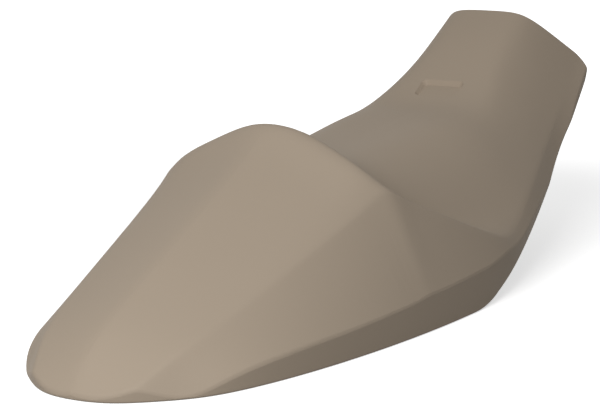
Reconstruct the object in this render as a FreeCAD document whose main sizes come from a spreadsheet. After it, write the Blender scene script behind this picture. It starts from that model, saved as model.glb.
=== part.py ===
import FreeCAD, Part
import math
import os

from FreeCAD import Placement, Rotation, Vector

# Tail fairing of a motorcycle: one moulded shell that carries the saddle in front and the
# pointed tail behind. The tail tip is at y = 0, the front end at the largest y, and the flat
# rim that the shell stands on is at z = 0. The finished shell is moved at the end so that
# the middle of its footprint is the origin.

os.makedirs("parts", exist_ok=True)
doc = FreeCAD.newDocument("tail_fairing")
sheet = doc.addObject("Spreadsheet::Sheet", "sizes")

# Degree of every spline in the roof
DEGREE = 3

# Sizes of the moulding as a whole
SIZES = {
    "wall": 3.5,
    "lip_width": 16,
    "lip_thick": 3.5,
    "crease_round": 7,
    "eave_x": 190,
    "roof_drop": 600,
    "wall_lean": 0.12,
    "plan_top": 300,
    "plan_base": 10,
    "rim_end_y": 384,
    "chin_round": 110,
    "chin_turn": 24,
    "chin_mid_y": 613,
    "chin_mid_z": 87,
    "chin_end_y": 745,
    "chin_end_z": 165,
    "front_top_y": 687,
    "front_top_z": 228,
    "headroom": 60,
    "recess_y": 589.4,
    "recess_z": 159.4,
    "recess_width": 41,
    "recess_length": 19,
    "recess_corner": 3,
    "recess_slope": 25,
    "recess_draft": 40,
    "recess_reach": 20,
    "front_round": 22,
    "shoulder_round": 5,
    "rim_round": 2,
}

# Cross-sections of the tail: spine height, crease, a point lower down the side facet, and
# how far the top facet bulges over a straight line from the spine to the crease
TAIL_COLUMNS = ("y", "spine_z", "crease_x", "crease_z", "side_x", "side_z", "bulge")
TAIL_STATIONS = {
    "astern": (-30, -36, 40, -38, 60, -58, 0),
    "tip": (2, 12, 44, 4, 62, -12, 0),
    "nose": (25, 36, 59, 19, 69, -3, 0),
    "flare": (55, 55, 71, 36, 91, 14, 0),
    "taper": (95, 74, 82, 50, 114, 23, 0),
    "haunch": (200, 125, 99, 87, 141, 28, 2),
    "brow": (266, 159, 110, 111, 151, 32, 4),
    "crest": (289, 180, 114, 122, 154, 32, 9),
}

# Cross-sections of the saddle: centre height, then the poles of the section from the crown
# out over the flank and the hollow to the edge, and a point lower down the side
SADDLE_COLUMNS = ("y", "centre_z", "crown_x", "crown_z", "flank_x", "flank_z",
                  "hollow_x", "hollow_z", "crease_x", "crease_z", "side_x", "side_z")
SADDLE_STATIONS = {
    "lee": (302, 175, 32, 174, 62, 160, 94, 144, 118, 127, 156, 34),
    "scoop": (322, 145, 40, 145, 74, 133, 103, 96, 124, 113, 157, 34),
    "lap": (370, 137, 45, 138, 85, 120, 114, 78, 137, 92, 160, 36),
    "hip": (441, 138, 54, 143, 96, 113, 128, 66, 154, 55, 165, 25),
    "ham": (480, 141, 57, 147, 98, 117, 123, 78, 142, 53, 151, 38),
    "thigh": (526, 145, 58, 152, 97, 122, 115, 99, 131, 76, 139, 53),
    "knee": (576, 148, 50, 152, 67, 148, 97, 120, 117, 95, 124, 75),
    "neck": (641, 199, 32, 199, 47, 186, 74, 154, 97, 121, 104, 102),
    "lapel": (690, 231, 29, 231, 46, 224, 65, 190, 88, 150, 98, 135),
    "ahead": (750, 268, 26, 268, 41, 261, 58, 230, 78, 194, 88, 180),
}

# The poles between the centre line and the crease. In a tail section they share out the way to
# the crease: how far out, how much of the drop, and how much of the bulge
FACET_COLUMNS = ("out", "down", "rise")
FACET_POLES = {
    "crown": (0.16, 0.13, 0.4),
    "flank": (0.48, 0.48, 1),
    "hollow": (0.82, 0.82, 1.4),
}

# Half of the plan outline at the rim, from the tip forward
PLAN_COLUMNS = ("x", "y")
PLAN_POINTS = {
    "stem": (0, 0),
    "chine": (36, 7),
    "cheek": (72, 33),
    "quarter": (103.5, 75),
    "waist": (131.5, 166),
    "beam": (149, 281),
    "widest": (154, 378),
    "turn": (145, 468),
    "flap": (104, 613),
    "end": (62, 760),
}


def fill_sheet():
    """Write every driving dimension to the sheet under its own alias."""
    cells = dict(SIZES)
    for columns, table in ((TAIL_COLUMNS, TAIL_STATIONS), (SADDLE_COLUMNS, SADDLE_STATIONS),
                           (FACET_COLUMNS, FACET_POLES), (PLAN_COLUMNS, PLAN_POINTS)):
        for place, values in table.items():
            for column, value in zip(columns, values):
                cells[f"{place}_{column}"] = value
    for row, (alias, value) in enumerate(cells.items(), start=1):
        sheet.set(f"A{row}", alias)
        sheet.set(f"B{row}", str(value))
        sheet.setAlias(f"B{row}", alias)
    doc.recompute()


def size(alias):
    """A driving dimension as a plain number."""
    return float(sheet.get(alias))


def moved_in(points, distance):
    """Points of an open outline, moved square to it towards its right-hand side."""
    normals = []
    for (x0, z0), (x1, z1) in zip(points, points[1:]):
        normals.append(Vector(z1 - z0, x0 - x1, 0).normalize())
    before = [Vector(-normals[0].x, normals[0].y, 0)] + normals
    after = normals + [normals[-1]]
    moved = []
    for (x, z), first, second in zip(points, before, after):
        step = (first + second) * (distance / (1 + first.dot(second)))
        moved.append((x + step.x, z + step.y))
    return moved


def towards(start, end, distance):
    """The point at a distance from start on the line to end, at most half-way there."""
    run = Vector(end[0] - start[0], end[1] - start[1], 0)
    share = min(distance / run.Length, 0.5)
    return (start[0] + run.x * share, start[1] + run.y * share)


def half_section(place):
    """Poles of half a roof section, from the centre line out to the eave."""
    crease = (size(f"{place}_crease_x"), size(f"{place}_crease_z"))
    side = (size(f"{place}_side_x"), size(f"{place}_side_z"))
    if place in TAIL_STATIONS:
        top = size(f"{place}_spine_z")
        drop = top - crease[1]
        bulge = size(f"{place}_bulge")
        poles = [(crease[0] * size(f"{pole}_out"),
                  top - drop * size(f"{pole}_down") + bulge * size(f"{pole}_rise"))
                 for pole in FACET_POLES]
    else:
        top = size(f"{place}_centre_z")
        poles = [(size(f"{place}_{pole}_x"), size(f"{place}_{pole}_z")) for pole in FACET_POLES]
    fall = (side[1] - crease[1]) / (side[0] - crease[0])
    eave = (size("eave_x"), crease[1] + fall * (size("eave_x") - crease[0]))
    inner = towards(crease, poles[-1], size("crease_round"))
    outer = towards(crease, side, size("crease_round"))
    return [(0, top)] + poles + [inner, crease, outer, eave]


def even_knots(poles):
    """Evenly spaced knots, and how often each counts, for a curve with so many poles."""
    spans = poles - DEGREE
    knots = [step / spans for step in range(spans + 1)]
    return knots, [DEGREE + 1] + [1] * (spans - 1) + [DEGREE + 1]


def plane(body, role):
    """One of the body's own origin planes."""
    for feature in body.Origin.OriginFeatures:
        if feature.Role == role:
            return feature
    raise ValueError(role)


def sketch_on(body, role, name, curves, offset):
    """A sketch on one of the body's origin planes, moved along that plane's normal."""
    sketch = body.newObject("Sketcher::SketchObject", name)
    sketch.AttachmentSupport = [(plane(body, role), "")]
    sketch.MapMode = "FlatFace"
    sketch.AttachmentOffset = Placement(Vector(0, 0, offset), Rotation())
    for curve in curves:
        sketch.addGeometry(curve, False)
    return sketch


def polyline(points):
    """Straight lines from point to point."""
    ends = [Vector(x, y, 0) for x, y in points]
    return [Part.LineSegment(start, end) for start, end in zip(ends, ends[1:])]


def roof_solid(name, inset):
    """The top of the shell and its side facets, carried straight down as a solid."""
    net = []
    for place in list(TAIL_STATIONS) + list(SADDLE_STATIONS):
        half = moved_in(half_section(place), inset)
        across = [(-x, z) for x, z in reversed(half[1:])] + half
        net.append([Vector(x, size(f"{place}_y"), z) for x, z in across])
    surface = Part.BSplineSurface()
    along_knots, along_mults = even_knots(len(net))
    cross_knots, cross_mults = even_knots(len(net[0]))
    surface.buildFromPolesMultsKnots(net, along_mults, cross_mults, along_knots, cross_knots,
                                     False, False, DEGREE, DEGREE)
    skin_face = doc.addObject("Part::Feature", f"{name}_face")
    skin_face.Shape = surface.toShape()
    solid = doc.addObject("Part::Extrusion", name)
    solid.Base = skin_face
    solid.DirMode = "Custom"
    solid.Dir = Vector(0, 0, -1)
    solid.Solid = True
    solid.setExpression("LengthFwd", "sizes.roof_drop")
    return solid


def plan_outline(spread):
    """The plan outline as a spline, spread outwards, closed by a straight front line."""
    half = [(size(f"{place}_x"), size(f"{place}_y")) for place in PLAN_POINTS]
    half = moved_in(half, spread)
    across = [(-x, y) for x, y in reversed(half[1:])] + half
    curve = Part.BSplineCurve()
    curve.interpolate([Vector(x, y, 0) for x, y in across],
                      Parameters=[float(step) for step in range(len(across))])
    return [curve] + polyline([across[-1], across[0]])


def plan_body(name, inset):
    """The footprint, carried up with walls that lean a little outwards."""
    body = doc.addObject("PartDesign::Body", name)
    lean = size("wall_lean")
    low = sketch_on(body, "XY_Plane", f"{name}_low",
                    plan_outline(-inset - lean * size("plan_base")), -size("plan_base"))
    low.setExpression("AttachmentOffset.Base.z", "-sizes.plan_base")
    high = sketch_on(body, "XY_Plane", f"{name}_high",
                     plan_outline(-inset + lean * size("plan_top")), size("plan_top"))
    high.setExpression("AttachmentOffset.Base.z", "sizes.plan_top")
    loft = body.newObject("PartDesign::AdditiveLoft", f"{name}_loft")
    loft.Profile = low
    loft.Sections = [high]
    loft.Ruled = True
    return body


def underside(lift):
    """Side view of the underside, lifted: flat rim, then the chin that rises to the front."""
    rim_end = Vector(size("rim_end_y"), lift, 0)
    radius = size("chin_round")
    turn = math.radians(size("chin_turn"))
    rise = [rim_end + Vector(radius * math.sin(angle), radius * (1 - math.cos(angle)), 0)
            for angle in (turn / 2, turn)]
    chin_mid = Vector(size("chin_mid_y"), size("chin_mid_z") + lift, 0)
    chin_end = Vector(size("chin_end_y"), size("chin_end_z") + lift, 0)
    return polyline([(-size("headroom"), lift), (rim_end.x, lift)]) + [
        Part.Arc(rim_end, rise[0], rise[1]), Part.Arc(rise[1], chin_mid, chin_end)]


def view_body(name, outline, half):
    """A closed side view, made as wide as the roof, or only its right half."""
    body = doc.addObject("PartDesign::Body", name)
    sketch = sketch_on(body, "YZ_Plane", f"{name}_view", outline, 0)
    pad = body.newObject("PartDesign::Pad", f"{name}_pad")
    pad.Profile = sketch
    if half:
        pad.setExpression("Length", "sizes.eave_x")
    else:
        pad.SideType = "Symmetric"
        pad.setExpression("Length", "2 * sizes.eave_x")
    return body


def side_body(name, floor, reach, half):
    """All that lies over the underside and behind the front end, which is cut square to it."""
    chin = (size("chin_end_y"), size("chin_end_z"))
    front_top = Vector(size("front_top_y"), size("front_top_z"), 0)
    slant = (front_top - Vector(chin[0], chin[1], 0)).normalize()
    ahead = Vector(slant.y, -slant.x, 0) * reach
    low = Vector(chin[0], chin[1] + floor, 0) + ahead
    high = front_top + ahead + slant * size("headroom")
    back = -size("headroom")
    front = [(chin[0], chin[1] + floor)] * bool(reach) + [(low.x, low.y), (high.x, high.y)]
    top = [(back, high.y), (back, floor)]
    return view_body(name, underside(floor) + polyline(front + top), half)


def round_foot(body):
    """Round the corner of a side view at the foot of its front end."""
    doc.recompute()
    pad = body.Tip
    gaps = [math.hypot(edge.CenterOfMass.y - size("chin_end_y"), edge.CenterOfMass.z - size("chin_end_z"))
            for edge in pad.Shape.Edges]
    fillet = body.newObject("PartDesign::Fillet", f"{body.Name}_foot")
    fillet.Base = (pad, [f"Edge{gaps.index(min(gaps)) + 1}"])
    fillet.setExpression("Radius", "sizes.front_round")


def half_skin(name):
    """The right half of the outer form: what its three views have in common."""
    side = side_body(f"{name}_side", 0, 0, True)
    round_foot(side)
    return common(name, [roof_solid(f"{name}_roof", 0), plan_body(f"{name}_plan", 0), side])


def core_form(name):
    """The room inside the wall and over the lip, run on through the open front."""
    wall = size("wall")
    side = side_body(f"{name}_side", size("lip_thick"), size("headroom"), False)
    return common(name, [roof_solid(f"{name}_roof", wall), plan_body(f"{name}_plan", wall), side])


def both_halves(name, half):
    """A half and its mirror image, joined."""
    mirrored = doc.addObject("Part::Mirroring", f"{name}_left")
    mirrored.Source = half
    mirrored.Normal = Vector(1, 0, 0)
    whole = doc.addObject("Part::MultiFuse", name)
    whole.Shapes = [half, mirrored]
    whole.Refine = True
    return whole


def common(name, shapes):
    """The room that all the shapes share."""
    shared = doc.addObject("Part::MultiCommon", name)
    shared.Shapes = shapes
    return shared


def cut(name, base, tool):
    """The base without the tool."""
    rest = doc.addObject("Part::Cut", name)
    rest.Base = base
    rest.Tool = tool
    return rest


def mouth():
    """The opening inside the lip, through the rim and the chin."""
    below = -size("lip_thick")
    above = 2 * size("lip_thick")
    end = (size("chin_end_y"), size("chin_end_z"))
    ends = polyline([(end[0], end[1] + below), (end[0], end[1] + above)])
    ends += polyline([(-size("headroom"), below), (-size("headroom"), above)])
    band = view_body("mouth_band", underside(below) + underside(above) + ends, False)
    return common("mouth", [plan_body("mouth_plan", size("lip_width")), band])


def rounded_box(half_width, half_length, radius):
    """Lines and arcs of a rectangle with rounded corners, about the sketch's own centre."""
    straight_x = half_width - radius
    straight_y = half_length - radius
    curves = []
    for side in (-1, 1):
        curves += polyline([(-straight_x, side * half_length), (straight_x, side * half_length)])
        curves += polyline([(side * half_width, -straight_y), (side * half_width, straight_y)])
    for quarter, (x, y) in enumerate(((1, 1), (-1, 1), (-1, -1), (1, -1))):
        centre = Vector(x * straight_x, y * straight_y, 0)
        circle = Part.Circle(centre, Vector(0, 0, 1), radius)
        start = quarter * math.pi / 2
        curves.append(Part.ArcOfCircle(circle, start, start + math.pi / 2))
    return curves


def recess_body(name, grown):
    """The label recess in the saddle, or that recess grown by the wall for the hollow."""
    body = doc.addObject("PartDesign::Body", name)
    outline = rounded_box(size("recess_width") / 2 + grown, size("recess_length") / 2 + grown,
                          size("recess_corner") + grown)
    sketch = sketch_on(body, "XY_Plane", f"{name}_view", outline, -grown)
    pad = body.newObject("PartDesign::Pad", f"{name}_pad")
    pad.Profile = sketch
    pad.setExpression("Length", "sizes.recess_reach")
    pad.setExpression("TaperAngle", "sizes.recess_draft")
    slope = Rotation(Vector(1, 0, 0), size("recess_slope"))
    body.Placement = Placement(Vector(0, size("recess_y"), size("recess_z")), slope)
    return body


def is_wall(face):
    """Whether a face is the upright wall, the only one ruled along one direction."""
    surface = face.Surface
    return isinstance(surface, Part.BSplineSurface) and 1 in (surface.UDegree, surface.VDegree)


def is_roof(face):
    """Whether a face is the roof, which is a spline both ways."""
    return isinstance(face.Surface, Part.BSplineSurface) and not is_wall(face)


def is_under(face):
    """Whether a face is part of the underside, flat or bent about a cross-line."""
    surface = face.Surface
    level = isinstance(surface, Part.Plane) and abs(surface.Axis.z) > abs(surface.Axis.y)
    return level or isinstance(surface, Part.Cylinder)


def rounded(name, base, alias, is_neighbour):
    """The base with the edges between its wall and the neighbouring faces rounded."""
    doc.recompute()
    radius = size(alias)
    picked = []
    for number, edge in enumerate(base.Shape.Edges, start=1):
        faces = base.Shape.ancestorsOfType(edge, Part.Face)
        if any(is_wall(face) for face in faces) and any(is_neighbour(face) for face in faces):
            picked.append((number, radius, radius))
    fillet = doc.addObject("Part::Fillet", name)
    fillet.Base = base
    fillet.Edges = picked
    return fillet


def check(item):
    """Stop unless the object came out valid."""
    if {"Invalid", "Error"} & set(item.State):
        raise RuntimeError(f"{item.Name}: {item.State}")
    if hasattr(item, "Shape") and (item.Shape.isNull() or not item.Shape.isValid()):
        raise RuntimeError(f"{item.Name}: bad shape")


fill_sheet()
soft_half = rounded("soft_half", half_skin("skin"), "shoulder_round", is_roof)
smooth_half = rounded("smooth_half", soft_half, "rim_round", is_under)
skin = both_halves("whole_skin", smooth_half)
dimpled_skin = cut("dimpled_skin", skin, recess_body("recess", 0))
dimpled_core = cut("dimpled_core", core_form("core"), recess_body("recess_back", size("wall")))
hollow = cut("hollow", dimpled_skin, dimpled_core)
shell = cut("shell", hollow, mouth())
shell.Label = "tail_fairing"
doc.recompute()
for item in doc.Objects:
    if item.TypeId.startswith(("Part", "Spreadsheet", "Sketcher")):
        check(item)
spots = shell.Shape.tessellate(size("wall"))[0]
along = [spot.y for spot in spots]
shell.Placement = Placement(Vector(0, -(min(along) + max(along)) / 2, 0), Rotation())
doc.recompute()
check(shell)
print("solids", len(shell.Shape.Solids), "faces", len(shell.Shape.Faces))
print("tip at", min(along), "front at", max(along), "top at", max(spot.z for spot in spots))
shell.Shape.exportStep("parts/tail_fairing.step")
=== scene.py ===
# %% [markdown]
# # Motorcycle tail fairing
# One moulded shell: a faceted tail that tapers to a blunt nose, a crest, and a scooped saddle
# that rises to the front. It could be modelled here again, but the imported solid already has
# the exact shape, so this lesson keeps it. It gives the shell its finish, sets it on a pale
# floor under soft light and places the camera. Lengths and places are in metres.

from math import radians

import bpy
from mathutils import Matrix, Vector

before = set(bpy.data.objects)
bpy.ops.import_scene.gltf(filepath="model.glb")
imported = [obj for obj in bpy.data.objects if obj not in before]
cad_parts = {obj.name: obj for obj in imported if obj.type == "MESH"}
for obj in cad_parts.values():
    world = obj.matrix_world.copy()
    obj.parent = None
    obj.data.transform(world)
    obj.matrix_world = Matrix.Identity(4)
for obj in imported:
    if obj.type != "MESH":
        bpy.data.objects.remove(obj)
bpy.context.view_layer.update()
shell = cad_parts["tail_fairing"]
scene = bpy.context.scene
print("loaded", shell.name, "with", len(shell.data.polygons), "faces")

# %% [markdown]
# ## Colour settings
# Blender's usual view bends colours to look like film. The Standard view shows a colour about
# as it is written, so a finish can be set by its numbers.

# %% Colour settings
scene.view_settings.view_transform = "Standard"
print("view transform:", scene.view_settings.view_transform)

# %% [markdown]
# ## Helpers for node trees
# A finish is a small tree of nodes. It could be drawn by hand in the shader editor. In a
# script, these helpers each add one kind of node, so that a finish reads from top to bottom.


# %% Node helpers
def new_material(name):
    """An empty node material and its output node."""
    material = bpy.data.materials.new(name)
    material.use_nodes = True
    material.node_tree.nodes.clear()
    output = material.node_tree.nodes.new("ShaderNodeOutputMaterial")
    return material, output


def add(tree, kind, **values):
    """A node of a kind, with the named inputs set."""
    node = tree.nodes.new(kind)
    for key, value in values.items():
        node.inputs[key.replace("_", " ")].default_value = value
    return node


def join(tree, source, target):
    """Link an output socket to an input socket, or set the input to a plain value."""
    if isinstance(source, bpy.types.NodeSocket):
        tree.links.new(source, target)
    else:
        target.default_value = source


def maths(tree, kind, operation, *sources):
    """The value of a maths node that works on sockets and plain values."""
    node = tree.nodes.new(kind)
    node.operation = operation
    for target, source in zip(node.inputs, sources):
        join(tree, source, target)
    return node.outputs["Value"]


def noise(tree, place, scale, detail, twist=0):
    """The grey value of a noise on an object's own coordinates."""
    node = add(tree, "ShaderNodeTexNoise", Scale=scale, Detail=detail, Distortion=twist)
    join(tree, place.outputs["Object"], node.inputs["Vector"])
    return node.outputs["Fac"]


def colour_mix(tree, factor, first, second):
    """The colour between two colours, each of them a socket or a plain colour."""
    node = tree.nodes.new("ShaderNodeMix")
    node.data_type = "RGBA"
    join(tree, factor, node.inputs["Factor"])
    ends = [socket for socket in node.inputs if socket.type == "RGBA"]
    for target, colour in zip(ends, (first, second)):
        join(tree, colour, target)
    return next(socket for socket in node.outputs if socket.type == "RGBA")


print("helpers ready")

# %% [markdown]
# ## Inner face of the shell
# The shell is laid up in a mould, so only its outer face has the smooth coat. The inner face
# could get a second material on picked faces, but that changes the mesh. A mask leaves it
# alone: the outer face looks away from a middle line at the height of the lower edge, and the
# inner face looks towards it. The line is level at the tail and rises with the chin. An arm
# runs from the line to each spot, and its length along the spot's own normal is below zero
# where the face looks back at the line.

# %% Inner-face mask
RIM_LEVEL = 0
CHIN_FROM = 0.018
CHIN_SLOPE = 0.45
INNER_FROM = -0.004
INNER_FULL = -0.012
inner_face = bpy.data.node_groups.new("inner_face", "ShaderNodeTree")
inner_face.interface.new_socket("Inner", in_out="OUTPUT", socket_type="NodeSocketFloat")
mask_out = inner_face.nodes.new("NodeGroupOutput")
mask_place = add(inner_face, "ShaderNodeTexCoord")
spot = inner_face.nodes.new("ShaderNodeSeparateXYZ")
join(inner_face, mask_place.outputs["Object"], spot.inputs["Vector"])
ahead = maths(inner_face, "ShaderNodeMath", "SUBTRACT", spot.outputs["Y"], CHIN_FROM)
rise = maths(inner_face, "ShaderNodeMath", "MULTIPLY", ahead, CHIN_SLOPE)
line = maths(inner_face, "ShaderNodeMath", "MAXIMUM", rise, RIM_LEVEL)
above = maths(inner_face, "ShaderNodeMath", "SUBTRACT", spot.outputs["Z"], line)
arm = inner_face.nodes.new("ShaderNodeCombineXYZ")
join(inner_face, spot.outputs["X"], arm.inputs["X"])
join(inner_face, above, arm.inputs["Z"])
facing = maths(inner_face, "ShaderNodeVectorMath", "DOT_PRODUCT",
               arm.outputs["Vector"], mask_place.outputs["Normal"])
limit = add(inner_face, "ShaderNodeMapRange", From_Min=INNER_FROM, From_Max=INNER_FULL)
join(inner_face, facing, limit.inputs["Value"])
join(inner_face, limit.outputs["Result"], mask_out.inputs["Inner"])
print("mask:", inner_face.name)

# %% [markdown]
# ## Coat and laminate
# The satin taupe coat is even in colour but never perfectly so: it has faint broad clouds.
# The bare laminate inside is duller, with the strands of its mat showing. Painted pictures
# could give both, but noise on the object's own coordinates has no seams and no end.

# %% Colour of the coat
COAT = (0.37, 0.302, 0.232, 1)
COAT_WARM = (0.382, 0.312, 0.24, 1)
CLOUD_SCALE = 9
CLOUD_DETAIL = 3
coated_shell, shell_out = new_material("coated_shell")
shell_tree = coated_shell.node_tree
shell_place = add(shell_tree, "ShaderNodeTexCoord")
clouds = noise(shell_tree, shell_place, CLOUD_SCALE, CLOUD_DETAIL)
coat_colour = colour_mix(shell_tree, clouds, COAT, COAT_WARM)
print("coat:", COAT[:3], "to", COAT_WARM[:3])

# %% Colour of the laminate
LAMINATE = (0.29, 0.26, 0.215, 1)
LAMINATE_PALE = (0.36, 0.325, 0.27, 1)
STRAND_SCALE = 70
STRAND_DETAIL = 2
STRAND_TWIST = 6
strands = noise(shell_tree, shell_place, STRAND_SCALE, STRAND_DETAIL, STRAND_TWIST)
laminate_colour = colour_mix(shell_tree, strands, LAMINATE, LAMINATE_PALE)
print("laminate:", LAMINATE[:3], "to", LAMINATE_PALE[:3])

# %% [markdown]
# ## Relief
# A sprayed coat dries with a fine orange peel that softens every reflection, and the strands
# of the laminate stand out from the resin. Both are far too fine to model, so a bump node
# tilts the surface. Its heights are in metres, because its distance is 1.

# %% Relief of both faces
PEEL_SCALE = 420
PEEL_DETAIL = 2
PEEL_HEIGHT = 0.00002
STRAND_HEIGHT = 0.0005
RELIEF_STRENGTH = 1
RELIEF_DISTANCE = 1
inner = shell_tree.nodes.new("ShaderNodeGroup")
inner.node_tree = inner_face
inner_mask = inner.outputs["Inner"]
peel = noise(shell_tree, shell_place, PEEL_SCALE, PEEL_DETAIL)
peel_height = maths(shell_tree, "ShaderNodeMath", "MULTIPLY", peel, PEEL_HEIGHT)
inner_strands = maths(shell_tree, "ShaderNodeMath", "MULTIPLY", strands, inner_mask)
height = maths(shell_tree, "ShaderNodeMath", "MULTIPLY_ADD",
               inner_strands, STRAND_HEIGHT, peel_height)
relief = add(shell_tree, "ShaderNodeBump", Strength=RELIEF_STRENGTH, Distance=RELIEF_DISTANCE)
join(shell_tree, height, relief.inputs["Height"])
print("relief: peel", PEEL_HEIGHT, "m, strands", STRAND_HEIGHT, "m")

# %% [markdown]
# ## Surface of the shell
# The coat is satin, so its reflections are weak and wide, and the laminate is almost matt. Two
# surfaces could be blended by the mask. One surface with blended colour and roughness is
# plainer, and it takes the relief as well.

# %% Surface of the shell
COAT_ROUGHNESS = 0.62
LAMINATE_ROUGHNESS = 0.85
REFLECTION = 0.18
face_colour = colour_mix(shell_tree, inner_mask, coat_colour, laminate_colour)
roughness = add(shell_tree, "ShaderNodeMapRange",
                To_Min=COAT_ROUGHNESS, To_Max=LAMINATE_ROUGHNESS)
surface = add(shell_tree, "ShaderNodeBsdfPrincipled", Specular_IOR_Level=REFLECTION)
join(shell_tree, inner_mask, roughness.inputs["Value"])
join(shell_tree, face_colour, surface.inputs["Base Color"])
join(shell_tree, roughness.outputs["Result"], surface.inputs["Roughness"])
join(shell_tree, relief.outputs["Normal"], surface.inputs["Normal"])
join(shell_tree, surface.outputs["BSDF"], shell_out.inputs["Surface"])
shell.data.materials.clear()
shell.data.materials.append(coated_shell)
print("finish on", shell.name, "is", coated_shell.name)

# %% [markdown]
# ## What counts as seen
# The background is white to the camera and in reflections, and a dimmer grey to the light
# that bounces about, so that a white background doesn't add light to the shell. The Light
# Path node tells these rays apart. The floor and the sky both need it.


# %% Seen-ray helper
def seen_ray(tree):
    """1 for a ray of the camera, a reflection or clear glass, and 0 for bounced light."""
    ray = tree.nodes.new("ShaderNodeLightPath")
    glossy, clear = ray.outputs["Is Glossy Ray"], ray.outputs["Is Transmission Ray"]
    indirect = maths(tree, "ShaderNodeMath", "MAXIMUM", glossy, clear)
    return maths(tree, "ShaderNodeMath", "MAXIMUM", ray.outputs["Is Camera Ray"], indirect)


print("seen-ray helper ready")

# %% [markdown]
# ## Floor
# A studio often has a curved paper sweep. A flat floor is plainer and does the same here,
# because it glows to plain white further off and no horizon shows. Near the shell it keeps
# the soft shadow. It lies a hair below the rim, so that the two faces don't share a level.

# %% Floor sheet
FLOOR_SIZE = 60
FLOOR_GAP = 0.0003
bpy.ops.object.select_all(action="DESELECT")
bpy.ops.mesh.primitive_plane_add(size=FLOOR_SIZE, location=(0, 0, -FLOOR_GAP))
floor = bpy.context.object
floor.name = "floor"
print("floor:", FLOOR_SIZE, "m wide")

# %% Floor colour
FLOOR_SEEN = (0.98, 0.98, 0.98, 1)
FLOOR_FELT = (0.3, 0.3, 0.3, 1)
pale_floor, floor_out = new_material("pale_floor")
floor_tree = pale_floor.node_tree
seen = seen_ray(floor_tree)
floor_colour = colour_mix(floor_tree, seen, FLOOR_FELT, FLOOR_SEEN)
sheet = add(floor_tree, "ShaderNodeBsdfDiffuse")
join(floor_tree, floor_colour, sheet.inputs["Color"])
print("floor colour:", FLOOR_SEEN[:3])

# %% Floor glow
SHADOW_REACH = 0.5
WHITE_FROM = 1.1
NEAR_GLOW = 0.6
floor_place = add(floor_tree, "ShaderNodeTexCoord")
distance = maths(floor_tree, "ShaderNodeVectorMath", "LENGTH", floor_place.outputs["Object"])
fade = add(floor_tree, "ShaderNodeMapRange",
           From_Min=SHADOW_REACH, From_Max=WHITE_FROM, To_Min=NEAR_GLOW)
fade.interpolation_type = "SMOOTHSTEP"
join(floor_tree, distance, fade.inputs["Value"])
glow = add(floor_tree, "ShaderNodeEmission")
glow_strength = maths(floor_tree, "ShaderNodeMath", "MULTIPLY", fade.outputs["Result"], seen)
join(floor_tree, glow_strength, glow.inputs["Strength"])
both = floor_tree.nodes.new("ShaderNodeAddShader")
for target, part in zip(both.inputs, (sheet.outputs["BSDF"], glow.outputs["Emission"])):
    join(floor_tree, part, target)
join(floor_tree, both.outputs["Shader"], floor_out.inputs["Surface"])
floor.data.materials.append(pale_floor)
print("floor is white from", WHITE_FROM, "m")

# %% [markdown]
# ## Light
# A soft sky fills the shade. One wide lamp stands behind the tail, a little to its right, and
# is near enough that its light falls off towards the front. Two or three lamps would flatten
# the facets, and one shows each of them in a tone of its own.

# %% Sky
SKY_STRENGTH = 0.25
SKY_SEEN = 1
WHITE = (1, 1, 1, 1)
sky = bpy.data.worlds.new("studio")
scene.world = sky
sky.use_nodes = True
sky_tree = sky.node_tree
sky_tree.nodes.clear()
sky_out = sky_tree.nodes.new("ShaderNodeOutputWorld")
background = add(sky_tree, "ShaderNodeBackground", Color=WHITE)
sky_level = add(sky_tree, "ShaderNodeMapRange", To_Min=SKY_STRENGTH, To_Max=SKY_SEEN)
join(sky_tree, seen_ray(sky_tree), sky_level.inputs["Value"])
join(sky_tree, sky_level.outputs["Result"], background.inputs["Strength"])
join(sky_tree, background.outputs["Background"], sky_out.inputs["Surface"])
print("sky strength:", SKY_STRENGTH)

# %% Lamp
LAMP_PLACE = Vector((0.4, -1.41, 0.96))
LAMP_AIM = Vector((0, -0.1, 0.1))
LAMP_POWER = 21.5
LAMP_SIZE = 1
bpy.ops.object.light_add(type="AREA", location=LAMP_PLACE)
lamp = bpy.context.object
lamp.name = "wide_lamp"
lamp.data.energy = LAMP_POWER
lamp.data.size = LAMP_SIZE
lamp.rotation_euler = (LAMP_AIM - LAMP_PLACE).to_track_quat("-Z", "Y").to_euler()
print("lamp:", lamp.data.energy, "W")

# %% [markdown]
# ## Camera
# The view is from behind the tail and to its right, a little above it, through a long lens.
# The camera could be aimed at a point, but it is also turned slightly about its own axis, so
# its three turns are written out, in degrees: round from the tail, above the level and about
# its own axis. A new camera looks straight down, and 90 degrees bring it up to the level.

# %% Camera
CAMERA_PLACE = (1.1893, -1.7933, 0.5422)
CAMERA_ROUND = 34
CAMERA_ABOVE = 12
CAMERA_ROLL = -2
DOWN_TO_LEVEL = 90
LENS = 144
SENSOR = 36
bpy.ops.object.camera_add(location=CAMERA_PLACE)
camera = bpy.context.object
camera.name = "camera"
swing = Matrix.Rotation(radians(CAMERA_ROUND), 3, "Z")
lift = Matrix.Rotation(radians(DOWN_TO_LEVEL - CAMERA_ABOVE), 3, "X")
roll = Matrix.Rotation(radians(CAMERA_ROLL), 3, "Z")
camera.rotation_euler = (swing @ lift @ roll).to_euler()
camera.data.lens = LENS
camera.data.sensor_width = SENSOR
camera.data.sensor_fit = "HORIZONTAL"
scene.camera = camera
print("camera lens:", camera.data.lens, "mm")
